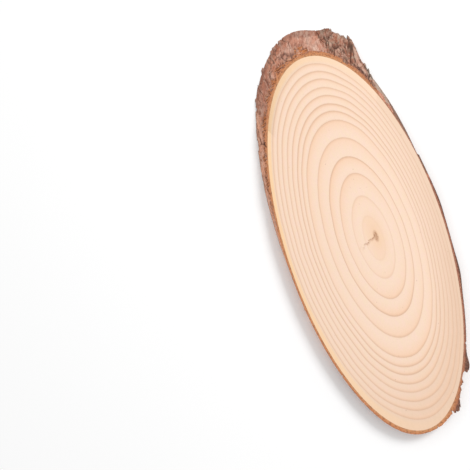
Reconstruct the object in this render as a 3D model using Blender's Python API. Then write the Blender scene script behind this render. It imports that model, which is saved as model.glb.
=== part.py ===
"""Oval wood slice: a young softwood trunk sawn through twice at a slant.

The trunk is made first, with its bark plates on it, and laid at the saw's angle. Two parallel
saw cuts then leave one slab. Its faces are long ovals, and its bark rim leans over: it slopes
out under one end of the top face and tucks in under the other.

Frame: metres, +Z up. The slab lies on z = 0, and +X runs along the oval towards the end where
the rim tucks in. The origin is on the underside, below the middle of the whole slab's box.
"""

import math

import bmesh
import bpy
from mathutils import Matrix, Vector, noise

# Driving dimensions, in metres and radians.
WOOD_RADIUS = 0.050
SAW_ANGLE = math.radians(24.2)
THICKNESS = 0.0072
BARK = 0.0015

# The trunk isn't quite round. It is a little flattened, and a little three-sided: how much, and
# the turn that each is widest towards.
FLATTENED = 0.0005
FLATTENED_TOWARDS = math.radians(45)
THREE_SIDED = 0.0003
THREE_SIDED_TOWARDS = math.radians(70)

# Where the bark is thicker or has worn thin: (degrees round the trunk, spread, change).
# 0 degrees is the side that slopes out under the top face, and +90 is the +Y side.
BARK_SWELLS = (
    (-40, 15, 0.0005),
    (32, 10, 0.0030),
    (62, 15, -0.0010),
    (107, 5, 0.0005),
    (138, 4, 0.0020),
    (157, 4, 0.0020),
    (180, 15, -0.0005),
)

# Bark plates: their size round and along the trunk, and the cracks between them.
PLATE_WIDTH = 0.011
PLATE_LENGTH = 0.024
CRACK_DEPTH = 0.0005
CRACK_SHARE = 0.35

# How finely the trunk's skin is divided.
COLUMNS = 200
RING_GAP = 0.0023


def clear_scene():
    """Remove whatever the startup scene holds."""
    for obj in list(bpy.data.objects):
        bpy.data.objects.remove(obj, do_unlink=True)


def wood_radius(angle):
    """The trunk's radius under the bark, at an angle round it."""
    oval = FLATTENED * math.cos(2 * (angle - FLATTENED_TOWARDS))
    corners = THREE_SIDED * math.cos(3 * (angle - THREE_SIDED_TOWARDS))
    return WOOD_RADIUS + oval + corners


def bark_thickness(angle, along):
    """Wood to bark surface, square to the trunk: a mean thickness, swells, and cracked plates."""
    thickness = BARK
    for middle, spread, change in BARK_SWELLS:
        turn = (math.degrees(angle) - middle + 180) % 360 - 180
        thickness += change * math.exp(-((turn / spread) ** 2))
    spot = Vector(
        (
            WOOD_RADIUS * math.cos(angle) / PLATE_WIDTH,
            WOOD_RADIUS * math.sin(angle) / PLATE_WIDTH,
            along / PLATE_LENGTH,
        )
    )
    nearest, second = noise.voronoi(spot)[0][:2]
    in_crack = 1 - min(1, (second - nearest) / CRACK_SHARE)
    return thickness - CRACK_DEPTH * in_crack


def barked_trunk():
    """A cylinder along Z, longer than the slanting cuts need, with its skin moved out as bark."""
    reach = WOOD_RADIUS + 4 * BARK
    length = 2 * (reach / math.tan(SAW_ANGLE) + THICKNESS / math.sin(SAW_ANGLE))
    trunk = bmesh.new()
    bmesh.ops.create_cone(
        trunk,
        cap_ends=True,
        segments=COLUMNS,
        radius1=WOOD_RADIUS,
        radius2=WOOD_RADIUS,
        depth=length,
    )
    staves = [e for e in trunk.edges if abs(e.verts[0].co.z - e.verts[1].co.z) > length / 2]
    bmesh.ops.subdivide_edges(trunk, edges=staves, cuts=round(length / RING_GAP))
    for vertex in trunk.verts:
        angle = math.atan2(vertex.co.y, vertex.co.x)
        radius = wood_radius(angle) + bark_thickness(angle, vertex.co.z)
        vertex.co.x = radius * math.cos(angle)
        vertex.co.y = radius * math.sin(angle)
    return trunk


def lay_at_saw_angle(trunk):
    """Turn the trunk so that its line rises towards +X, and its 0 degree side faces up and to -X."""
    upright_to_slant = Matrix.Rotation(math.pi / 2 - SAW_ANGLE, 4, "Y")
    face_about = Matrix.Rotation(math.pi, 4, "Z")
    half_a_slab_up = Matrix.Translation((0, 0, THICKNESS / 2))
    mirror_side = Matrix.Scale(-1, 4, (0, 1, 0))
    trunk.transform(half_a_slab_up @ upright_to_slant @ face_about @ mirror_side)
    bmesh.ops.reverse_faces(trunk, faces=trunk.faces[:])


def saw_through(trunk, height, keep_above):
    """One level saw cut: the waste is dropped, and the cut is closed with one flat face."""
    cut = bmesh.ops.bisect_plane(
        trunk,
        geom=trunk.verts[:] + trunk.edges[:] + trunk.faces[:],
        dist=1e-6,
        plane_co=(0, 0, height),
        plane_no=(0, 0, 1),
        clear_outer=not keep_above,
        clear_inner=keep_above,
    )
    rim = [item for item in cut["geom_cut"] if isinstance(item, bmesh.types.BMEdge)]
    bmesh.ops.edgeloop_fill(trunk, edges=rim)


def stand_on_origin(trunk):
    """Slide the slab level until the middle of its box is over the origin."""
    xs = [vertex.co.x for vertex in trunk.verts]
    ys = [vertex.co.y for vertex in trunk.verts]
    middle = Vector((min(xs) + max(xs), min(ys) + max(ys), 0)) / 2
    bmesh.ops.translate(trunk, verts=trunk.verts[:], vec=-middle)


def wood_material():
    """Pale sawn softwood with its bark, as one plain colour."""
    material = bpy.data.materials.new("sawn_softwood")
    material.use_nodes = True
    shader = material.node_tree.nodes["Principled BSDF"]
    shader.inputs["Base Color"].default_value = (0.90, 0.70, 0.52, 1)
    shader.inputs["Roughness"].default_value = 0.65
    shader.inputs["Metallic"].default_value = 0
    return material


def wood_slice():
    """The finished slab as one object."""
    trunk = barked_trunk()
    lay_at_saw_angle(trunk)
    saw_through(trunk, 0, keep_above=True)
    saw_through(trunk, THICKNESS, keep_above=False)
    stand_on_origin(trunk)
    bmesh.ops.recalc_face_normals(trunk, faces=trunk.faces[:])
    mesh = bpy.data.meshes.new("wood_slice")
    trunk.to_mesh(mesh)
    trunk.free()
    mesh.materials.append(wood_material())
    return bpy.data.objects.new("wood_slice", mesh)


def main():
    clear_scene()
    collection = bpy.data.collections.new("oval_wood_slice")
    bpy.context.scene.collection.children.link(collection)
    collection.objects.link(wood_slice())


main()
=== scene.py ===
# %% [markdown]
# # An oval wood slice with its bark on
#
# A wood slice like this is what is left when a young softwood trunk is sawn through twice, close
# together and at a slant. The slant turns the round trunk into a long oval, stretches the growth
# rings, and makes the bark rim lean: it slopes out under one end and tucks in under the other.
#
# Everything here is worked out in the trunk's own terms, a turn round it and a distance along it,
# and only then laid at the saw's angle. That way the rings on the upper face, the rings on the
# underside and the bark between them all belong to the same trunk.

import math

import bpy
import numpy as np
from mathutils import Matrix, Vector


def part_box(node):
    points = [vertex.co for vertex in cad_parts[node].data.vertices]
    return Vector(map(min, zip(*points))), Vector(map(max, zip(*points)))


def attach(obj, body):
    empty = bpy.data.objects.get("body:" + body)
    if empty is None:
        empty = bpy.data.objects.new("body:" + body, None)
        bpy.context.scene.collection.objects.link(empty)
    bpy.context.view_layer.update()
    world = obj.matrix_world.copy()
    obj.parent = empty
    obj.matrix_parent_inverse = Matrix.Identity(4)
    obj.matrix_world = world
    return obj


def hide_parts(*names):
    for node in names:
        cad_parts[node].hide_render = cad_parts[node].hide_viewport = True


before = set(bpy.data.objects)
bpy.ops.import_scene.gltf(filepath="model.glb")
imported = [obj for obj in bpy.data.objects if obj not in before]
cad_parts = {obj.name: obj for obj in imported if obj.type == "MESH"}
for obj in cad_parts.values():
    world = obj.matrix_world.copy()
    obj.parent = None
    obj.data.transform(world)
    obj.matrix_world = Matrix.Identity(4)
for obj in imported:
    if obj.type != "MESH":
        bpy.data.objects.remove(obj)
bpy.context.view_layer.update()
slab_low, slab_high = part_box("wood_slice")
print("slab, mm:", [round(1000 * side, 1) for side in slab_high - slab_low])

# %% [markdown]
# ## The trunk and the two saw cuts
#
# A point on the trunk is named by its turn (0 on the side that slopes out under the upper face,
# a quarter turn on the +Y side), its distance from the trunk's middle line, and its height over
# the table. Sawing at a slant stretches a circle along X by one over the sine of the saw's angle,
# and slides it along X as the height grows. Working in millimetres keeps the numbers readable.

# %% From trunk to slab
TURN = 2 * math.pi
METRES = 0.001
SAW_ANGLE = math.radians(24.2)
WOOD_RADIUS = 50.0
THICKNESS = (slab_high.z - slab_low.z) / METRES
GIRTH = TURN * WOOD_RADIUS
FLATTENED = 0.5
FLATTENED_TOWARDS = math.radians(45)
THREE_SIDED = 0.3
THREE_SIDED_TOWARDS = math.radians(70)


def wood_edge(turn):
    """Where the wood ends and the bark starts: a circle, a little flattened and three-sided."""
    oval = FLATTENED * np.cos(2 * (turn - FLATTENED_TOWARDS))
    corners = THREE_SIDED * np.cos(3 * (turn - THREE_SIDED_TOWARDS))
    return WOOD_RADIUS + oval + corners


def in_slab(turn, radius, height):
    """Points of the sawn slab, in millimetres: the circle stretched by the slant, slid by the height."""
    slide = (height - THICKNESS / 2) / math.tan(SAW_ANGLE)
    x = slide - radius * np.cos(turn) / math.sin(SAW_ANGLE)
    y = radius * np.sin(turn)
    return np.stack(np.broadcast_arrays(x, y, height), axis=-1)


def along_trunk(turn, radius, height):
    """How far along the trunk a point of the slab lies: the height over the middle line's slope."""
    rise = height - THICKNESS / 2 - radius * np.cos(turn) * math.cos(SAW_ANGLE)
    return rise / math.sin(SAW_ANGLE)


def even_turns(count):
    """Turns that are the same distance apart along the oval: its length is summed, then shared out."""
    fine = np.linspace(0, TURN, 20001)
    outline = in_slab(fine, wood_edge(fine), THICKNESS / 2)
    steps = np.hypot(*np.diff(outline[:, :2], axis=0).T)
    walked = np.concatenate([[0], np.cumsum(steps)])
    return np.interp(np.arange(count) * walked[-1] / count, walked, fine)


print("oval, mm:", round(2 * WOOD_RADIUS / math.sin(SAW_ANGLE), 1), "by", 2 * WOOD_RADIUS)

# %% [markdown]
# ## Patterns that run round a trunk
#
# Bark is cracks, plates, flakes and fibres, one on top of the other. Two kinds of pattern make
# them all. One is smooth bumps, which is gradient noise. The other is a mosaic of cells with a
# border between them, as dried mud has. Both are grids of seeded random numbers that close on
# themselves round the trunk, looked up for all the points at once. A Displace modifier with a
# texture could do the bumps, but not the mosaic's own heights and tilts, and it can't tell the
# colours afterwards where the cracks are.

# %% Bumps and mosaics
LATTICE_ROWS = 512


def smooth(value):
    """A soft step: 0 below 0, 1 above 1, and level where it meets them."""
    held = np.clip(value, 0, 1)
    return held * held * (3 - 2 * held)


def bumps(turn, along, width, length, seed):
    """Smooth bumps from -1 to 1, about width round the trunk and length along it.

    Each corner of a grid has a random slope. A point takes the height that each of its four
    corners' slopes gives there, and a soft step blends the four.
    """
    columns = max(4, round(GIRTH / width))
    slopes = np.random.default_rng(seed).uniform(0, TURN, (LATTICE_ROWS, columns))
    x = turn / TURN % 1 * columns
    y = along / length + LATTICE_ROWS / 2
    left = np.floor(x).astype(int)
    low = np.floor(y).astype(int)

    def corner(right, up):
        slope = slopes[(low + up) % LATTICE_ROWS, (left + right) % columns]
        return np.cos(slope) * (x - left - right) + np.sin(slope) * (y - low - up)

    across = smooth(x - left)
    bottom = corner(0, 0) * (1 - across) + corner(1, 0) * across
    top = corner(0, 1) * (1 - across) + corner(1, 1) * across
    return 1.5 * (bottom + (top - bottom) * smooth(y - low))


def mosaic(turn, along, width, length, seed):
    """Cells like dried mud's plates: (border, tone, tilt).

    Each square of a grid holds one seed point at a random spot. border is how much further the
    second nearest seed is than the nearest, so 0 on the line between two cells. tone is the
    nearest seed's own random number, and tilt runs from -1 to 1 across the cell in its own
    random direction.
    """
    columns = max(4, round(GIRTH / width))
    seeds = np.random.default_rng(seed).random((LATTICE_ROWS, columns, 4))
    x = turn / TURN % 1 * columns
    y = along / length + LATTICE_ROWS / 2
    nearest = np.full(x.shape, np.inf)
    second = np.full(x.shape, np.inf)
    tone = np.zeros(x.shape)
    tilt = np.zeros(x.shape)
    for up in (-1, 0, 1):
        for right in (-1, 0, 1):
            column = np.floor(x).astype(int) + right
            row = np.floor(y).astype(int) + up
            cell = seeds[row % LATTICE_ROWS, column % columns]
            aside = x - column - cell[..., 0]
            above = y - row - cell[..., 1]
            away = np.hypot(aside, above)
            closer = away < nearest
            second = np.where(closer, nearest, np.minimum(second, away))
            nearest = np.where(closer, away, nearest)
            tone = np.where(closer, cell[..., 2], tone)
            lean = aside * np.cos(TURN * cell[..., 3]) + above * np.sin(TURN * cell[..., 3])
            tilt = np.where(closer, lean, tilt)
    return second - nearest, tone, tilt


# %% [markdown]
# ## The bark's relief
#
# Young bark isn't the same all round. Here it is thick and scaly on one shoulder, smooth over the
# sloping end, papery and peeling beside it, and worn thin along one side, where it starts again
# with a step. Its thickness is one usual value with a few swells, and the rest are stretches of the
# turn with soft or sharp ends.
#
# On top of the body come thin layers with ragged edges, the cracks, and the fibres that run along
# the trunk. The relief is real shape, because the rim is seen edge on, where a bump map would
# leave a clean oval.

# %% Bark, layer by layer


def stretch(turn, start, end, soft_start=4, soft_end=4):
    """1 between two turns in degrees and 0 outside, with a soft step of the given width at each end."""
    degrees = (np.degrees(turn) - start + 90) % 360 - 90
    return smooth(degrees / soft_start) * (1 - smooth((degrees - (end - start)) / soft_end))


def layers(field, step):
    """A slope broken into flat layers: (height, edge, raised, tone).

    The field is counted in steps. The whole steps are the layers, and the rest of the way to the
    next one is a short steep rise with a raised lip. edge is 1 at the foot of each rise, raised is
    1 on the lip, and tone is the layer's own number from 0 to 1.
    """
    level = field / step
    whole = np.floor(level)
    part = level - whole
    raised = np.exp(-(((part - 0.62) / 0.12) ** 2))
    height = step * (whole + smooth((part - 0.44) / 0.12) + 0.3 * raised)
    edge = np.exp(-(((part - 0.43) / 0.07) ** 2))
    tone = np.mod((whole + (part > 0.5)) * 0.618, 1)
    return height, edge, raised, tone


# The bark's usual thickness, and where it differs: the turn in degrees, how far that spreads, and
# how much thicker the bark is along the upper cut and along the lower one.
BARK = 1.3
BARK_SWELLS = (
    (-40, 15, 0.2, 0.6),
    (28, 8, 0.3, 3.0),
    (37, 4, 0.3, 3.5),
    (86, 5, 0.5, 0),
    (107, 5, 0.8, 0.4),
    (138, 3, 2.0, 1.2),
    (157, 3, 2.4, 1.5),
    (180, 15, -0.5, -0.4),
)
# Where the bark has been worn nearly off, in degrees, and the share of it that is gone.
WORN_FROM = 46
WORN_TO = 78
WORN_AWAY = 0.75
CRACK_DEPTH = 0.6
THINNEST = 0.25


def bark_relief(turn, along):
    """The bark's thickness and what its surface is like there, as a dictionary of arrays.

    body + layers + fibres + grain - cracks, where the shares of each come from the stretches.
    """
    below = -along - WOOD_RADIUS * np.cos(turn) / math.tan(SAW_ANGLE)
    lowness = smooth(below / 14 + 0.5)
    body = np.full(np.shape(below), BARK)
    for middle, spread, upper, lower in BARK_SWELLS:
        aside = (np.degrees(turn) - middle + 180) % 360 - 180
        body = body + (upper + (lower - upper) * lowness) * np.exp(-((aside / spread) ** 2))
    body = body * (1 - WORN_AWAY * stretch(turn, WORN_FROM, WORN_TO, 2, 1))

    scaly = np.clip(stretch(turn, 15, 46, 4, 4) + 0.6 * stretch(turn, 133, 163, 3, 4), 0, 1)
    calm = stretch(turn, -14, 14, 8, 3)
    thin = stretch(turn, 46, 132, 3, 3)
    rubbed = stretch(turn, 43, 57, 2, 1)
    plated = stretch(turn, -75, -14, 12, 6)
    torn = 5 * bumps(turn, along, 4, 6, 14) + 2.5 * bumps(turn, along, 1.2, 2.5, 15)
    papery = stretch(turn, -88, 4, 25, 2) * smooth((torn - below - 1.5) / 1.5)

    rough = np.clip(scaly + 0.5 * plated + 0.5 * papery, 0, 1)
    slope = (0.3 + 0.95 * scaly + 0.35 * plated - 0.15 * thin) * (
        0.75 * bumps(turn, along, 11, 24, 21)
        + 0.6 * bumps(turn, along, 4.5, 8, 22)
        + 0.26 * rough * bumps(turn, along, 1.9, 3.6, 23)
        + 0.12 * rough * bumps(turn, along, 0.9, 1.5, 24)
    )
    layered, edge, raised, tone = layers(slope - 0.35 * papery, 0.42 + 0.4 * scaly)

    fibres = 0.08 * bumps(turn, along, 0.8, 7, 31) + 0.05 * bumps(turn, along, 0.5, 3, 32)
    grain = 0.06 * bumps(turn, along, 0.8, 0.9, 33)
    border, _, _ = mosaic(
        turn + 0.05 * bumps(turn, along, 5, 8, 41), along + 3 * bumps(turn, along, 5, 9, 42), 9, 17, 43
    )
    open_cracks = smooth((bumps(turn, along, 13, 20, 44) + 0.55 * scaly - 0.12) / 0.25)
    cracks = (1 - smooth(border / (0.05 + 0.05 * scaly))) * open_cracks
    thickness = body + layered + (fibres + grain) * (0.5 + 0.5 * rough) - CRACK_DEPTH * cracks

    return {
        "thickness": np.maximum(thickness, THINNEST),
        "crack": cracks,
        "edge": edge,
        "lip": raised,
        "layer": tone,
        "papery": papery,
        "scaly": scaly,
        "calm": calm,
        # Painted light: the wall on this side is coloured lighter, as if a lamp shone on it from there.
        "painted_light_side": stretch(turn, -135, -50, 20, 40),
        "ruddy": stretch(turn, -50, -30, 6, 6),
        "dull": thin * (1 - rubbed) * smooth((below + 7.5) / 3),
        "rubbed": rubbed * smooth((below + 1 + 6 * bumps(turn, along, 3, 9, 52)) / 1.5),
        # Painted shade: a dark band along the lower edge of the wall.
        "painted_low_shade": smooth((below - 6.5 + 2.5 * bumps(turn, along, 7, 6, 51)) / 1.5),
    }


# %% [markdown]
# ## The bark as one closed ring
#
# The ring's section is walked once: out over the upper cut, down the wall, in over the lower cut
# and back up against the wood. Each step of that walk is a row, and each turn is a column, so the
# whole bark is one grid that closes on itself both ways and has no loose edge.

# %% Build the bark ring
BARK_COLUMNS = 2000
WALL_ROWS = 38
CUT_STEPS = np.array([0.0, 0.3, 0.6, 0.85])
CAMBIUM_GAP = 0.03


def closed_grid(rows, columns):
    """Four corners for each face of a grid whose last row and last column meet the first ones."""
    row, column = np.mgrid[0:rows, 0:columns]
    next_row = (row + 1) % rows
    next_column = (column + 1) % columns
    corners = [
        row * columns + column,
        row * columns + next_column,
        next_row * columns + next_column,
        next_row * columns + column,
    ]
    return np.stack(corners, axis=-1).reshape(-1, 4)


def make_piece(name, points, faces):
    """A mesh object at the origin, from points in millimetres and lists of corners."""
    mesh = bpy.data.meshes.new(name)
    mesh.from_pydata(points * METRES, [], faces)
    mesh.update()
    piece = bpy.data.objects.new(name, mesh)
    bpy.context.scene.collection.objects.link(piece)
    mesh.shade_smooth()
    return piece


def write_attribute(mesh, name, values):
    """Keep one number for each point, for the materials to read."""
    attribute = mesh.attributes.new(name, "FLOAT", "POINT")
    attribute.data.foreach_set("value", np.ascontiguousarray(values, dtype=np.float32).ravel())


def bark_ring():
    """The bark: a grid of (section rows, turns), with what the surface is like kept beside it."""
    turn = even_turns(BARK_COLUMNS)[None, :]
    share = np.linspace(1, 0, WALL_ROWS)[:, None]
    height = THICKNESS * share
    along = along_trunk(turn, WOOD_RADIUS + 1.4, height)
    skin = bark_relief(np.broadcast_to(turn, along.shape), along)
    inner = wood_edge(turn) + CAMBIUM_GAP
    wall = in_slab(turn, inner + skin["thickness"], height)

    def cut(row, level, steps, sink):
        """One sawn face of the bark, from the wood out, a little ragged."""
        depth = inner + steps[:, None] * skin["thickness"][row]
        ragged = 0.10 * bumps(turn, steps[:, None] * 3, 1.2, 0.8, 41) ** 2
        return in_slab(turn, depth, level + sink * ragged * (steps[:, None] > 0))

    upper = cut(0, THICKNESS, CUT_STEPS, -1)
    lower = cut(-1, 0.0, CUT_STEPS[::-1], 1)
    points = np.concatenate([upper, wall, lower])
    rows = len(points)

    def over_rows(on_wall, on_cut):
        """Values for every row: the wall's own, and the cut faces' from the nearest wall row."""
        top = np.broadcast_to(on_cut(0), (len(CUT_STEPS), BARK_COLUMNS))
        bottom = np.broadcast_to(on_cut(-1), (len(CUT_STEPS), BARK_COLUMNS))
        return np.concatenate([top, on_wall, bottom])

    faces = closed_grid(rows, BARK_COLUMNS)
    piece = make_piece("bark", points.reshape(-1, 3), faces)
    for name, values in skin.items():
        write_attribute(piece.data, name, over_rows(values, lambda row: values[row]))
    depth = np.concatenate(
        [
            np.broadcast_to(CUT_STEPS[:, None], (len(CUT_STEPS), BARK_COLUMNS)),
            np.ones((WALL_ROWS, BARK_COLUMNS)),
            np.broadcast_to(CUT_STEPS[::-1, None], (len(CUT_STEPS), BARK_COLUMNS)),
        ]
    )
    thickness = over_rows(skin["thickness"], lambda row: skin["thickness"][row])
    write_attribute(piece.data, "depth", depth * thickness)
    is_wall = np.zeros(rows, bool)
    is_wall[len(CUT_STEPS) : len(CUT_STEPS) + WALL_ROWS - 1] = True
    slots = np.repeat(np.where(is_wall, 0, 1), BARK_COLUMNS)
    piece.data.polygons.foreach_set("material_index", slots.astype(np.int32))
    return piece


bark = bark_ring()
bark.data.set_sharp_from_angle(angle=math.radians(50))
print("bark faces:", len(bark.data.polygons))

# %% [markdown]
# ## The wood inside
#
# The wood is a plain slanted slab, so it could be a stretched cylinder. It is worked out on rows
# that grow from the pith to the bark instead, because the old crack beside the pith is real
# shape: rows close together there leave room for a groove.

# %% Build the wood
WOOD_COLUMNS = 1000
PITH_ASIDE = 6.9
PITH_ABOVE = 0.2
CRACK_TURN = math.radians(260)
CRACK_LENGTH = 14
GROOVE_DEPTH = 0.25


def wood_slab():
    """Wood: rings of points from the pith out over the top, down the side, and back to the pith."""
    turn = even_turns(BARK_COLUMNS)[:: BARK_COLUMNS // WOOD_COLUMNS]
    edge = wood_edge(turn)
    edge_across = np.stack([edge * np.cos(turn), edge * np.sin(turn)])
    pith = np.array([PITH_ABOVE, PITH_ASIDE])[:, None]

    def face(shares, level):
        """Points a share of the way from the pith to the wood's edge, at one height."""
        across = pith[:, :, None] + shares[None, :, None] * (edge_across - pith)[:, None, :]
        return across, np.full(across.shape[1:], level)

    near = np.linspace(0.012, 0.26, 26)
    far = np.linspace(0.34, 1, 9)
    shares = np.concatenate([near, far])
    top_across, top_height = face(shares, THICKNESS)
    low_across, low_height = face(np.linspace(1, 0.1, 8), 0.0)

    away = np.hypot(*(top_across - pith[:, :, None]))
    bearing = np.arctan2(top_across[1] - pith[1], top_across[0] - pith[0])
    wander = 0.035 * np.sin(away * 1.7) + 0.02 * np.sin(away * 5.1)
    aside = np.sin(bearing - CRACK_TURN - wander) * away
    ahead = np.cos(bearing - CRACK_TURN) > 0
    taper = smooth(1.6 * (CRACK_LENGTH - away) / CRACK_LENGTH) * smooth(away / 0.5)
    groove = np.exp(-((aside / 0.26) ** 2)) * taper * ahead
    top_height = top_height - GROOVE_DEPTH * groove

    across = np.concatenate([top_across, low_across], axis=1)
    height = np.concatenate([top_height, low_height])
    x = (height - THICKNESS / 2) / math.tan(SAW_ANGLE) - across[0] / math.sin(SAW_ANGLE)
    points = np.stack([x, across[1], height], axis=-1).reshape(-1, 3)
    rows = len(height)
    poles = np.array([[0, PITH_ASIDE, THICKNESS], [0, PITH_ASIDE, 0]], float)
    poles[:, 0] = (poles[:, 2] - THICKNESS / 2) / math.tan(SAW_ANGLE)
    poles[:, 0] -= PITH_ABOVE / math.sin(SAW_ANGLE)
    top_pole = rows * WOOD_COLUMNS
    column = np.arange(WOOD_COLUMNS)
    beside = (column + 1) % WOOD_COLUMNS
    last = (rows - 1) * WOOD_COLUMNS
    quads = closed_grid(rows, WOOD_COLUMNS)[: (rows - 1) * WOOD_COLUMNS]
    cap = np.stack([np.full(WOOD_COLUMNS, top_pole), beside, column], axis=-1)
    base = np.stack([np.full(WOOD_COLUMNS, top_pole + 1), last + column, last + beside], axis=-1)
    faces = quads.tolist() + cap.tolist() + base.tolist()
    piece = make_piece("wood", np.concatenate([points, poles]), faces)
    ungrooved = np.zeros(len(points) + len(poles) - groove.size)
    write_attribute(piece.data, "groove", np.concatenate([groove.ravel(), ungrooved]))
    return piece


wood = wood_slab()
wood.data.set_sharp_from_angle(angle=math.radians(50))
print("wood faces:", len(wood.data.polygons))

# %% [markdown]
# ## Small tools for the finishes
#
# Every finish is a node tree, so a few short helpers keep them readable: one that reads a paint
# chip's colour, one that places a node, one for a sum, one for a mix of two colours, one for a
# ramp and one for a noise.

# %% Helpers for node trees


def paint(chip):
    """A colour from six hexadecimal digits, as a screen shows it, in the linear numbers nodes use."""
    screen = [int(chip[i : i + 2], 16) / 255 for i in (0, 2, 4)]
    linear = [c / 12.92 if c <= 0.04045 else ((c + 0.055) / 1.055) ** 2.4 for c in screen]
    return (*linear, 1)


def place(tree, kind, inputs=(), **settings):
    """Add a node, set its own settings, and give its inputs numbers or other nodes' outputs."""
    node = tree.nodes.new(kind)
    for name, value in settings.items():
        setattr(node, name, value)
    for socket, value in dict(inputs).items():
        if isinstance(value, bpy.types.NodeSocket):
            tree.links.new(value, node.inputs[socket])
        else:
            node.inputs[socket].default_value = value
    return node


def calc(tree, operation, *values, clamp=False):
    """One step of arithmetic on numbers or sockets."""
    node = place(tree, "ShaderNodeMath", enumerate(values), operation=operation, use_clamp=clamp)
    return node.outputs[0]


def mix(tree, share, first, second, mode="MIX"):
    """First colour turning into the second as share goes from 0 to 1."""
    inputs = {0: share, 6: first, 7: second}
    node = place(tree, "ShaderNodeMix", inputs, data_type="RGBA", blend_type=mode)
    return node.outputs[2]


def ramp(tree, value, *stops, interpolation="LINEAR"):
    """A value read off a strip of stops, each a place and a grey level or a colour."""
    node = place(tree, "ShaderNodeValToRGB", {0: value})
    strip = node.color_ramp
    strip.interpolation = interpolation
    while len(strip.elements) < len(stops):
        strip.elements.new(1)
    for element, (spot, level) in zip(strip.elements, stops):
        element.position = spot
        element.color = level if isinstance(level, tuple) else (level, level, level, 1)
    return node.outputs[0]


def cloud(tree, vector, scale, detail=3, roughness=0.5, distortion=0):
    """Noise from 0 to 1, with its scale in blobs for each unit of the vector."""
    inputs = {"Vector": vector, "Scale": scale, "Detail": detail}
    inputs.update({"Roughness": roughness, "Distortion": distortion})
    return place(tree, "ShaderNodeTexNoise", inputs).outputs[0]


def stored(tree, name):
    """A number that was kept for each point of the mesh."""
    return place(tree, "ShaderNodeAttribute", attribute_name=name).outputs["Fac"]


def new_finish(name):
    """An empty material with its shader and output: returns (material, tree, shader)."""
    finish = bpy.data.materials.new(name)
    finish.use_nodes = True
    tree = finish.node_tree
    return finish, tree, tree.nodes["Principled BSDF"]


def new_group(name, inputs, outputs):
    """A node group with named sockets, each written as a name and a kind."""
    group = bpy.data.node_groups.new(name, "ShaderNodeTree")
    for socket, kind in inputs:
        group.interface.new_socket(socket, in_out="INPUT", socket_type="NodeSocket" + kind)
    for socket, kind in outputs:
        group.interface.new_socket(socket, in_out="OUTPUT", socket_type="NodeSocket" + kind)
    return group, group.nodes.new("NodeGroupInput"), group.nodes.new("NodeGroupOutput")


# %% [markdown]
# ## Two effects that every finish shares
#
# The first group turns a place in the slab into a place in the trunk: two numbers across it and
# one along it, in millimetres. It is only a turn about Y by the saw's angle. The second makes wood
# fibres: noise that is short across the trunk and long along it. Sawn wood, sawn bark and the
# bark's skin all use both, so the fibres run the same way through all three.

# %% Groups: place in the trunk, and fibres
TRUNK_PLACE, _, sockets_out = new_group("place in trunk", (), [("Place", "Vector")])
middle_line = Vector((0, 0, THICKNESS / 2))
slab_place = place(TRUNK_PLACE, "ShaderNodeTexCoord").outputs["Object"]
in_millimetres = place(
    TRUNK_PLACE, "ShaderNodeVectorMath", {0: slab_place, "Scale": 1 / METRES}, operation="SCALE"
)
from_middle = place(
    TRUNK_PLACE,
    "ShaderNodeVectorMath",
    {0: in_millimetres.outputs[0], 1: middle_line},
    operation="SUBTRACT",
)
laid_back = place(
    TRUNK_PLACE,
    "ShaderNodeMapping",
    {"Vector": from_middle.outputs[0], "Rotation": (0, math.pi / 2 + SAW_ANGLE, 0)},
)
TRUNK_PLACE.links.new(laid_back.outputs[0], sockets_out.inputs["Place"])

FIBRES, sockets_in, sockets_out = new_group(
    "fibres",
    [("Place", "Vector"), ("Width", "Float"), ("Length", "Float")],
    [("Fibre", "Float"), ("Streak", "Float")],
)


def long_noise(tree, spot, width, length, detail, roughness):
    """Noise stretched along the trunk: the place is divided by a width across and a length along."""
    sizes = place(tree, "ShaderNodeCombineXYZ", {0: width, 1: width, 2: length})
    shrunk = place(
        tree, "ShaderNodeVectorMath", {0: spot, 1: sizes.outputs[0]}, operation="DIVIDE"
    )
    return cloud(tree, shrunk.outputs[0], 1, detail, roughness)


fibre_place, fibre_width, fibre_length = sockets_in.outputs[:3]
fine = long_noise(FIBRES, fibre_place, fibre_width, fibre_length, 4, 0.65)
wide_width = calc(FIBRES, "MULTIPLY", fibre_width, 5.0)
wide_length = calc(FIBRES, "MULTIPLY", fibre_length, 3.0)
wide = long_noise(FIBRES, fibre_place, wide_width, wide_length, 3, 0.5)
FIBRES.links.new(fine, sockets_out.inputs["Fibre"])
FIBRES.links.new(wide, sockets_out.inputs["Streak"])


def trunk_place(tree):
    """Where in the trunk the shaded point is."""
    return place(tree, "ShaderNodeGroup", node_tree=TRUNK_PLACE).outputs["Place"]


def fibres(tree, spot, width, length):
    """The shared fibres: (fine, wide)."""
    node = tree.nodes.new("ShaderNodeGroup")
    node.node_tree = FIBRES
    tree.links.new(spot, node.inputs["Place"])
    node.inputs["Width"].default_value = width
    node.inputs["Length"].default_value = length
    return node.outputs["Fibre"], node.outputs["Streak"]


# %% [markdown]
# ## Sawn wood: the growth rings
#
# A wood texture node makes even rings about one centre. A real trunk's rings are uneven in width
# and the pith is off to one side, so the rings start round the pith and end parallel to the bark.
# That is a family of circles whose centres slide from the pith to the trunk's middle as they grow.
# Solving for the circle that a point is on gives its growth, from 0 at the pith to 1 at the bark.
#
# A broken line then turns growth into a count of rings, wide while the tree was young and narrow
# later, and the count's fraction is the time of year: pale early wood, a slow darkening, and a thin
# line of late wood.

# %% Growth of the trunk at a point
WIDE_RINGS = 6
NARROW_RINGS = 8
NARROW_SHARE = 0.045
UNEVEN = 0.12
RING_SEED = 4


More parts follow.
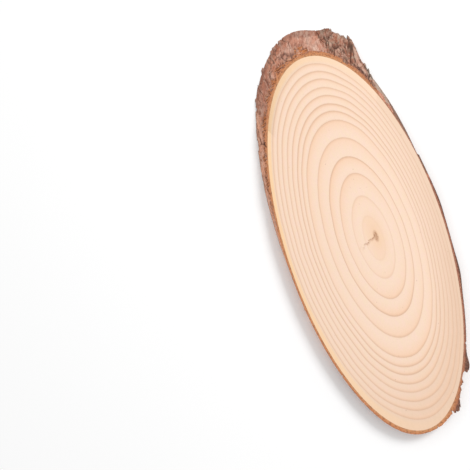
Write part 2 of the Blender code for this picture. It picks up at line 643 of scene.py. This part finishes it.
def ring_years():
    """Where each ring ends, as a share of the radius, and how dark its late wood is.

    The tree grew fast at first and slowly later. No two years are alike, so each ring is a little
    wider or narrower than its kind, and its line a little darker or fainter.
    """
    chance = np.random.default_rng(RING_SEED)
    wide_share = (1 - NARROW_RINGS * NARROW_SHARE) / WIDE_RINGS
    widths = np.repeat([wide_share, NARROW_SHARE], [WIDE_RINGS, NARROW_RINGS])
    widths = widths * chance.uniform(1 - UNEVEN, 1 + UNEVEN, len(widths))
    ends = np.cumsum(widths) / widths.sum()
    darkening = np.clip(0.2 + 0.3 * np.arange(len(widths)), 0, 1)
    strengths = chance.uniform(0.7, 1, len(widths)) * darkening
    strengths[-1] = 0.3
    return ends.tolist(), strengths.tolist()


RING_ENDS, RING_STRENGTHS = ring_years()

# The inner rings lean out towards one bearing, by this share of the radius.
LEAN = 0.035
LEAN_TOWARDS = 60
LEAN_PEAK = 0.33
NEWEST_WOOD = 0.985
RINGS_ASIDE = 5.4
RINGS_ABOVE = -0.4


def broken_line(tree, value, points):
    """A number read off straight runs between the given points, both ways from 0 to 1."""
    node = place(tree, "ShaderNodeFloatCurve", {"Value": value})
    line = node.mapping.curves[0]
    while len(line.points) < len(points):
        line.points.new(0.5, 0.5)
    for handle, spot in zip(line.points, points):
        handle.location = spot
        handle.handle_type = "VECTOR"
    node.mapping.update()
    return node.outputs[0]


def growth(tree, spot):
    """(growth, bearing from the oldest rings' middle as a share of a turn)."""
    wobble = place(tree, "ShaderNodeTexNoise", {"Vector": spot, "Scale": 0.045, "Detail": 1})
    shift = place(
        tree,
        "ShaderNodeVectorMath",
        {0: wobble.outputs["Color"], 1: (0.5, 0.5, 0.5)},
        operation="SUBTRACT",
    )
    warped = place(
        tree,
        "ShaderNodeVectorMath",
        {0: shift.outputs[0], 1: (0.9, 0.9, 0), 2: spot},
        operation="MULTIPLY_ADD",
    )
    from_rings = place(
        tree,
        "ShaderNodeVectorMath",
        {0: warped.outputs[0], 1: (RINGS_ABOVE, RINGS_ASIDE, 0)},
        operation="SUBTRACT",
    )
    flat = place(
        tree,
        "ShaderNodeVectorMath",
        {0: from_rings.outputs[0], 1: (1, 1, 0)},
        operation="MULTIPLY",
    ).outputs[0]
    to_middle = (-RINGS_ABOVE, -RINGS_ASIDE, 0)
    along_offset = place(
        tree, "ShaderNodeVectorMath", {0: flat, 1: to_middle}, operation="DOT_PRODUCT"
    ).outputs["Value"]
    square = place(
        tree, "ShaderNodeVectorMath", {0: flat, 1: flat}, operation="DOT_PRODUCT"
    ).outputs["Value"]
    span = WOOD_RADIUS**2 - RINGS_ABOVE**2 - RINGS_ASIDE**2
    inside = calc(tree, "MULTIPLY_ADD", square, span, calc(tree, "MULTIPLY", along_offset, along_offset))
    grown = calc(tree, "DIVIDE", calc(tree, "SUBTRACT", calc(tree, "SQRT", inside), along_offset), span)
    split = place(tree, "ShaderNodeSeparateXYZ", {0: flat})
    bearing = calc(tree, "ARCTAN2", split.outputs[1], split.outputs[0])
    bearing = calc(tree, "FRACT", calc(tree, "DIVIDE", bearing, TURN))
    return grown, bearing


def facing(tree, bearing, degrees, sharpness):
    """1 towards one bearing and 0 away from it."""
    turned = calc(tree, "MULTIPLY", calc(tree, "SUBTRACT", bearing, degrees / 360), TURN)
    half = calc(tree, "MULTIPLY_ADD", calc(tree, "COSINE", turned), 0.5, 0.5)
    return calc(tree, "POWER", half, sharpness)


def ring_lean(tree, grown, bearing):
    """How far the rings lean out there: most at a third of the way out, none at pith and bark."""
    to_peak = calc(tree, "DIVIDE", grown, LEAN_PEAK)
    from_peak = calc(tree, "DIVIDE", calc(tree, "SUBTRACT", 1, grown), 1 - LEAN_PEAK)
    share = calc(tree, "MINIMUM", to_peak, from_peak)
    turned = calc(tree, "MULTIPLY", calc(tree, "SUBTRACT", bearing, LEAN_TOWARDS / 360), TURN)
    towards = calc(tree, "MULTIPLY", calc(tree, "COSINE", turned), LEAN)
    return calc(tree, "MULTIPLY", towards, share)


def tint(tree, colour, share, chip):
    """The colour, turned part of the way to a paint chip."""
    return mix(tree, share, colour, paint(chip))


def sawn_wood():
    """Pale softwood, sawn and lightly sanded."""
    finish, tree, shader = new_finish("sawn wood")
    spot = trunk_place(tree)
    grown, bearing = growth(tree, spot)
    fine, wide = fibres(tree, spot, 0.35, 3.5)

    leaning = ring_lean(tree, grown, bearing)
    fuzz = calc(tree, "MULTIPLY_ADD", fine, 0.004, -0.002)
    rounded = calc(tree, "SUBTRACT", calc(tree, "ADD", grown, fuzz), leaning)
    rounded = calc(tree, "MINIMUM", rounded, NEWEST_WOOD)
    count = len(RING_ENDS)
    years = [(0, 0)] + [(end, (i + 1) / count) for i, end in enumerate(RING_ENDS)]
    age = calc(tree, "MULTIPLY", broken_line(tree, rounded, years), count)
    season = calc(tree, "FRACT", age)
    starts = (0, *RING_ENDS[:-1])
    widths = np.diff((0, *RING_ENDS))
    strength = ramp(tree, rounded, *zip(starts, RING_STRENGTHS), interpolation="CONSTANT")
    width = ramp(tree, rounded, *zip(starts, widths.tolist()), interpolation="CONSTANT")
    width = calc(tree, "MULTIPLY", width, WOOD_RADIUS)
    to_line = calc(tree, "MULTIPLY", calc(tree, "SUBTRACT", 1, season), width)
    past_line = calc(tree, "MULTIPLY", season, width)

    sunny = calc(tree, "ADD", facing(tree, bearing, 335, 2.5), facing(tree, bearing, 175, 6), clamp=True)
    band = ramp(tree, season, (0, 0), (0.3, 0.02), (0.5, 0.2), (0.78, 0.6), (0.95, 1))
    band = calc(tree, "MULTIPLY", band, calc(tree, "MULTIPLY_ADD", sunny, 0.8, 0.2))
    band = calc(tree, "MULTIPLY", band, strength)
    line = ramp(tree, to_line, (0, 1), (0.12, 0.8), (0.3, 0.35), (0.7, 0))
    after = ramp(tree, past_line, (0, 0.9), (0.15, 0.25), (0.35, 0))
    line = calc(tree, "MULTIPLY", calc(tree, "MAXIMUM", line, after), strength)

    blotch = ramp(tree, wide, (0.35, 0), (0.65, 1))
    colour = mix(tree, blotch, paint("F1D6BD"), paint("EFD2BF"))
    dusky = calc(tree, "MULTIPLY", facing(tree, bearing, 140, 2), ramp(tree, grown, (0.6, 0), (0.99, 1)))
    colour = tint(tree, colour, dusky, "DFBEA5")
    outermost = ramp(tree, grown, (0.955, 0), (0.975, 1))
    creamy = calc(tree, "MULTIPLY", facing(tree, bearing, 290, 2), outermost)
    newest = ramp(tree, grown, (0.93, 0), (0.96, 0.6))
    colour = tint(tree, colour, newest, "E6C9B0")
    colour = tint(tree, colour, creamy, "F4CEA2")
    colour = tint(tree, colour, band, "EFC7A8")
    colour = tint(tree, colour, line, "D6B196")
    grain = calc(tree, "MULTIPLY_ADD", fine, 0.14, calc(tree, "MULTIPLY_ADD", wide, 0.08, 0.89))
    shade = place(tree, "ShaderNodeCombineXYZ", {0: grain, 1: grain, 2: grain}).outputs[0]
    colour = mix(tree, 1.0, colour, shade, "MULTIPLY")

    pith_place = Vector((PITH_ABOVE, PITH_ASIDE, 0))
    flat = place(tree, "ShaderNodeVectorMath", {0: spot, 1: (1, 1, 0)}, operation="MULTIPLY").outputs[0]
    away = place(tree, "ShaderNodeVectorMath", {0: flat, 1: pith_place}, operation="DISTANCE")
    away = away.outputs["Value"]
    crumbs = ramp(tree, cloud(tree, spot, 1.3, 4, 0.7), (0.40, 0), (0.58, 1))
    halo = calc(tree, "SUBTRACT", 1, calc(tree, "DIVIDE", away, 8), clamp=True)
    colour = tint(tree, colour, calc(tree, "MULTIPLY", halo, 0.7), "EBC29C")
    pith = calc(tree, "SUBTRACT", 2.0, calc(tree, "DIVIDE", away, 0.9), clamp=True)
    pith = calc(tree, "MULTIPLY", pith, calc(tree, "MULTIPLY_ADD", crumbs, 0.45, 0.35))
    # The crack is painted the pith's brown: partly its stain, partly painted shade down in the groove.
    groove = calc(tree, "MULTIPLY", stored(tree, "groove"), calc(tree, "MULTIPLY_ADD", crumbs, 0.6, 0.2))
    colour = tint(tree, colour, calc(tree, "MAXIMUM", pith, groove), "A4714F")
    specks = ramp(tree, cloud(tree, flat, 0.9, 1), (0.775, 0), (0.80, 0.5))
    colour = tint(tree, colour, specks, "8A6350")

    tree.links.new(colour, shader.inputs["Base Color"])
    dull = calc(tree, "MULTIPLY_ADD", fine, 0.15, 0.55)
    tree.links.new(dull, shader.inputs["Roughness"])
    relief = calc(tree, "MULTIPLY_ADD", line, 0.4, fine)
    bump = place(tree, "ShaderNodeBump", {"Height": relief, "Strength": 0.12, "Distance": 0.0002})
    tree.links.new(bump.outputs[0], shader.inputs["Normal"])
    shader.inputs["Specular IOR Level"].default_value = 0.2
    return finish


wood.data.materials.append(sawn_wood())

# %% [markdown]
# ## Bark: its skin and its cut edge
#
# The skin is mauve-brown plates with pale worn streaks, dark cracks, patches of grey scale and an
# orange, papery stretch where the outer layer has peeled. The relief kept all of that beside each
# point, so the colours follow the shape. The sawn edge of the bark is its own finish: pale next to
# the wood, then orange inner bark in thin layers, then dark where the skin starts.

# %% Bark finishes
SCAR_SLANT = math.radians(17)


def flattened_cloud(tree, spot, scale):
    """Noise drawn out two and a half times along one way, like torn fibres."""
    drawn = place(tree, "ShaderNodeVectorMath", {0: spot, 1: (1, 1, 0.4)}, operation="MULTIPLY")
    return cloud(tree, drawn.outputs[0], scale, 6, 0.72)


def wrapped_place(tree, spot, squeeze):
    """The skin laid flat: along the trunk, and round it with the distance squeezed."""
    _, bearing = growth(tree, spot)
    split = place(tree, "ShaderNodeSeparateXYZ", {0: spot})
    around = calc(tree, "MULTIPLY", bearing, GIRTH * squeeze)
    return place(tree, "ShaderNodeCombineXYZ", {0: around, 1: split.outputs[2]}).outputs[0]


def hairlines(tree, spot, scale, width):
    """Thin broken lines between cells: a mosaic's borders, bent by noise and rubbed out in places."""
    bent = place(tree, "ShaderNodeTexNoise", {"Vector": spot, "Scale": 0.6, "Detail": 3})
    pushed = place(
        tree,
        "ShaderNodeVectorMath",
        {0: bent.outputs["Color"], 1: (2.4, 2.4, 3.6), 2: spot},
        operation="MULTIPLY_ADD",
    )
    long_cells = place(
        tree, "ShaderNodeVectorMath", {0: pushed.outputs[0], 1: (1, 1, 0.55)}, operation="MULTIPLY"
    )
    cells = place(
        tree,
        "ShaderNodeTexVoronoi",
        {"Vector": long_cells.outputs[0], "Scale": scale},
        feature="DISTANCE_TO_EDGE",
    )
    border = ramp(tree, cells.outputs[0], (0, 1), (width, 0))
    kept = ramp(tree, cloud(tree, spot, 0.22, 2), (0.42, 0), (0.55, 1))
    return calc(tree, "MULTIPLY", border, kept)


def bark_skin():
    """The weathered outside of the bark."""
    finish, tree, shader = new_finish("bark skin")
    spot = trunk_place(tree)
    slanted = place(
        tree, "ShaderNodeMapping", {"Vector": spot, "Rotation": (SCAR_SLANT, 0, 0)}
    ).outputs[0]
    fine, wide = fibres(tree, slanted, 0.5, 3.0)
    layer = stored(tree, "layer")
    edge = stored(tree, "edge")
    lip = stored(tree, "lip")
    crack = stored(tree, "crack")
    scaly = stored(tree, "scaly")
    papery = stored(tree, "papery")
    calm = stored(tree, "calm")
    painted_light_side = stored(tree, "painted_light_side")

    colour = mix(tree, layer, paint("C07A5F"), paint("D9A08A"))
    # Painted light: the wall's lit side is turned lighter and pinker.
    colour = tint(tree, colour, calc(tree, "MULTIPLY", painted_light_side, 0.85), "F8B492")
    colour = tint(tree, colour, calc(tree, "MULTIPLY", stored(tree, "ruddy"), 0.6), "9E5A48")
    colour = tint(tree, colour, calc(tree, "MULTIPLY", scaly, 0.65), "8F5D49")
    colour = tint(tree, colour, calc(tree, "MULTIPLY", calm, 0.35), "D2A592")
    streak = ramp(tree, wide, (0.46, 0), (0.58, 1))
    light = calc(tree, "MULTIPLY", streak, calc(tree, "MULTIPLY_ADD", calm, 0.30, 0.25))
    colour = tint(tree, colour, light, "DDBBA9")
    mottle = ramp(tree, flattened_cloud(tree, slanted, 0.6), (0.47, 0), (0.56, 1))
    # Less dark mottle on the painted lit side.
    blotched = calc(tree, "MULTIPLY", mottle, calc(tree, "MULTIPLY_ADD", painted_light_side, -0.2, 0.55))
    colour = tint(tree, colour, blotched, "8A5340")
    flecks = ramp(tree, flattened_cloud(tree, slanted, 1.1), (0.55, 0), (0.62, 1))
    colour = tint(tree, colour, calc(tree, "MULTIPLY", flecks, 0.4), "E2C2AE")
    grey = ramp(tree, cloud(tree, spot, 0.35, 5, 0.65), (0.49, 0), (0.60, 1))
    grey = calc(tree, "MULTIPLY", grey, calc(tree, "MULTIPLY_ADD", scaly, 0.42, 0.06))
    colour = tint(tree, colour, grey, "A89A86")
    wrapped = wrapped_place(tree, spot, 0.3)
    orange = ramp(tree, cloud(tree, wrapped, 0.7, 5, 0.7), (0.42, 0.1), (0.54, 0.9))
    colour = tint(tree, colour, calc(tree, "MULTIPLY", papery, orange), "D08048")
    torn = ramp(tree, cloud(tree, wrapped, 1.1, 4, 0.7), (0.44, 0.8), (0.51, 0))
    colour = tint(tree, colour, calc(tree, "MULTIPLY", papery, torn), "653927")
    # Painted highlight on the raised lip of each layer.
    colour = tint(tree, colour, calc(tree, "MULTIPLY", lip, 0.35), "E0BFAC")
    colour = tint(tree, colour, calc(tree, "MULTIPLY", stored(tree, "dull"), 0.85), "6E5546")
    colour = tint(tree, colour, calc(tree, "MULTIPLY", stored(tree, "rubbed"), 0.8), "A8998A")
    # Fewer dark lines on the painted lit side.
    even = calc(tree, "MULTIPLY_ADD", painted_light_side, -0.6, 1)
    kept_lines = calc(tree, "MULTIPLY_ADD", calm, -0.5, 0.8)
    lines = calc(tree, "MULTIPLY", hairlines(tree, spot, 0.3, 0.07), kept_lines)
    # Painted shade in the crease at the foot of each layer's step.
    lines = calc(tree, "MAXIMUM", lines, calc(tree, "MULTIPLY", edge, 0.75))
    lines = calc(tree, "MULTIPLY", lines, even)
    # Painted shade darkens the wall towards its lower edge.
    lines = calc(tree, "MAXIMUM", lines, calc(tree, "MULTIPLY", stored(tree, "painted_low_shade"), 0.3))
    # The cracks are painted dark: partly the bark's own darker inside, partly painted shade down in
    # them.
    lines = calc(tree, "MAXIMUM", lines, calc(tree, "MULTIPLY", crack, 0.85))
    colour = tint(tree, colour, lines, "43291F")
    tree.links.new(colour, shader.inputs["Base Color"])
    shader.inputs["Roughness"].default_value = 0.85
    shader.inputs["Specular IOR Level"].default_value = 0.25
    relief = calc(tree, "MULTIPLY_ADD", cloud(tree, spot, 1.6, 6, 0.7), 0.8, fine)
    relief = calc(tree, "MULTIPLY_ADD", lines, -0.6, relief)
    bump = place(tree, "ShaderNodeBump", {"Height": relief, "Strength": 0.7, "Distance": 0.0006})
    tree.links.new(bump.outputs[0], shader.inputs["Normal"])
    return finish


def cut_bark():
    """The bark's sawn edge, in layers from the wood out."""
    finish, tree, shader = new_finish("cut bark")
    spot = trunk_place(tree)
    fine, wide = fibres(tree, spot, 0.25, 2.0)
    _, bearing = growth(tree, spot)
    depth = calc(tree, "MULTIPLY_ADD", calc(tree, "SUBTRACT", wide, 0.5), 1.0, stored(tree, "depth"))
    layer = calc(tree, "MULTIPLY", depth, 0.25)
    living = ramp(
        tree,
        layer,
        (0.0, paint("C99063")),
        (0.12, paint("C78354")),
        (0.3, paint("C07A50")),
        (0.4, paint("A0644B")),
        (0.52, paint("6F4536")),
        (0.75, paint("8A6253")),
    )
    dead = ramp(
        tree,
        layer,
        (0.0, paint("B58069")),
        (0.12, paint("A5684F")),
        (0.26, paint("85503D")),
        (0.36, paint("543329")),
        (0.55, paint("6E4739")),
        (0.8, paint("4A2E26")),
    )
    colour = mix(tree, ramp(tree, facing(tree, bearing, 100, 3), (0.3, 0), (0.7, 1)), living, dead)
    rim_place = place(
        tree,
        "ShaderNodeCombineXYZ",
        {0: calc(tree, "MULTIPLY", stored(tree, "depth"), 2.2), 1: calc(tree, "MULTIPLY", bearing, 220)},
    )
    sheets = ramp(tree, cloud(tree, rim_place.outputs[0], 1, 4, 0.7), (0.40, 0.65), (0.50, 0))
    colour = tint(tree, colour, sheets, "6A3F2E")
    sparkle = ramp(tree, cloud(tree, spot, 1.4, 4, 0.7), (0.55, 0), (0.66, 0.45))
    colour = tint(tree, colour, sparkle, "DDB592")
    deep = ramp(tree, layer, (0.38, 0), (0.5, 1))
    outer_lines = ramp(tree, cloud(tree, rim_place.outputs[0], 1.5, 4, 0.75), (0.46, 0.85), (0.52, 0))
    colour = tint(tree, colour, calc(tree, "MULTIPLY", deep, outer_lines), "2E1A14")
    outer_light = ramp(tree, cloud(tree, rim_place.outputs[0], 1.2, 4, 0.75), (0.54, 0), (0.60, 0.7))
    colour = tint(tree, colour, calc(tree, "MULTIPLY", deep, outer_light), "C48A74")
    tree.links.new(colour, shader.inputs["Base Color"])
    shader.inputs["Roughness"].default_value = 0.8
    bump = place(tree, "ShaderNodeBump", {"Height": fine, "Strength": 0.5, "Distance": 0.0003})
    tree.links.new(bump.outputs[0], shader.inputs["Normal"])
    return finish


bark.data.materials.append(bark_skin())
bark.data.materials.append(cut_bark())

# %% [markdown]
# ## Tie the pieces to the frame
#
# The trunk's middle line was drawn through the origin, but the frame puts the origin under the
# middle of the slab's box, so both pieces slide a little first. Then they ride on the slab's one
# body and stand for its one solid.

# %% Slide, ride and replace
bark_corners = np.array([vertex.co for vertex in bark.data.vertices])
drawn_middle = Vector((bark_corners.min(axis=0) + bark_corners.max(axis=0)) / 2)
slide = (slab_low + slab_high) / 2 - drawn_middle
slide.z = 0
for piece in (wood, bark):
    piece.location = slide
bpy.context.view_layer.update()
print("slide, mm:", [round(1000 * side, 2) for side in slide])

for piece in (wood, bark):
    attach(piece, "root")
    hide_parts("wood_slice")

# %% [markdown]
# ## Floor, light and camera
#
# A white floor under soft light from all round keeps the colours true. One larger, slightly
# stronger light from the upper right gives the bark its shape. The camera looks almost straight
# down, with the slab off to the right of the view.

# %% Set the stage
scene = bpy.context.scene
scene.view_settings.view_transform = "Standard"

bpy.ops.mesh.primitive_plane_add(size=6, location=(0, 0, -0.0002))
floor = bpy.context.object
floor.name = "floor"
floor_finish, _, floor_shader = new_finish("white floor")
floor_shader.inputs["Base Color"].default_value = (0.96, 0.96, 0.96, 1)
floor_shader.inputs["Roughness"].default_value = 0.9
floor_shader.inputs["Specular IOR Level"].default_value = 0
floor.data.materials.append(floor_finish)

sky = bpy.data.worlds.new("soft sky")
sky.use_nodes = True
sky.node_tree.nodes["Background"].inputs["Color"].default_value = (1, 1, 1, 1)
sky.node_tree.nodes["Background"].inputs["Strength"].default_value = 0.75
scene.world = sky

VIEW_TURN = math.radians(71.37)
VIEW_LIFT = math.radians(87)
screen_right = Vector((math.cos(VIEW_TURN), math.sin(VIEW_TURN), 0))
screen_up = Vector((-math.sin(VIEW_TURN), math.cos(VIEW_TURN), 0))


def soft_light(name, right, up, height, size, watts):
    """A square lamp over the slab, aimed at it; right and up are as the camera sees them, in metres."""
    lamp = bpy.data.lights.new(name, "AREA")
    lamp.size = size
    lamp.energy = watts
    holder = bpy.data.objects.new(name, lamp)
    holder.location = screen_right * right + screen_up * up + Vector((0, 0, height))
    holder.rotation_mode = "QUATERNION"
    holder.rotation_quaternion = (-holder.location).to_track_quat("-Z", "Y")
    scene.collection.objects.link(holder)
    return holder


soft_light("key light", 0.7, 0.6, 0.9, 0.5, 9)

CAMERA_DISTANCE = 0.62
VIEW_WIDTH = 0.2934
SLAB_RIGHT_OF_VIEW = 0.0816
SLAB_BELOW_VIEW = 0.0033
lens = bpy.data.cameras.new("camera")
lens.sensor_width = 36
lens.lens = lens.sensor_width * CAMERA_DISTANCE / VIEW_WIDTH
camera = bpy.data.objects.new("camera", lens)
face_middle = slide + Vector((0, 0, slab_high.z))
face_middle.x += THICKNESS / 2 / math.tan(SAW_ANGLE) * METRES
aim = face_middle - screen_right * SLAB_RIGHT_OF_VIEW + screen_up * SLAB_BELOW_VIEW
back = -screen_up * math.cos(VIEW_LIFT) + Vector((0, 0, math.sin(VIEW_LIFT)))
camera.location = aim + back * CAMERA_DISTANCE
camera.rotation_mode = "QUATERNION"
camera.rotation_quaternion = (-back).to_track_quat("-Z", "Y")
scene.collection.objects.link(camera)
scene.camera = camera
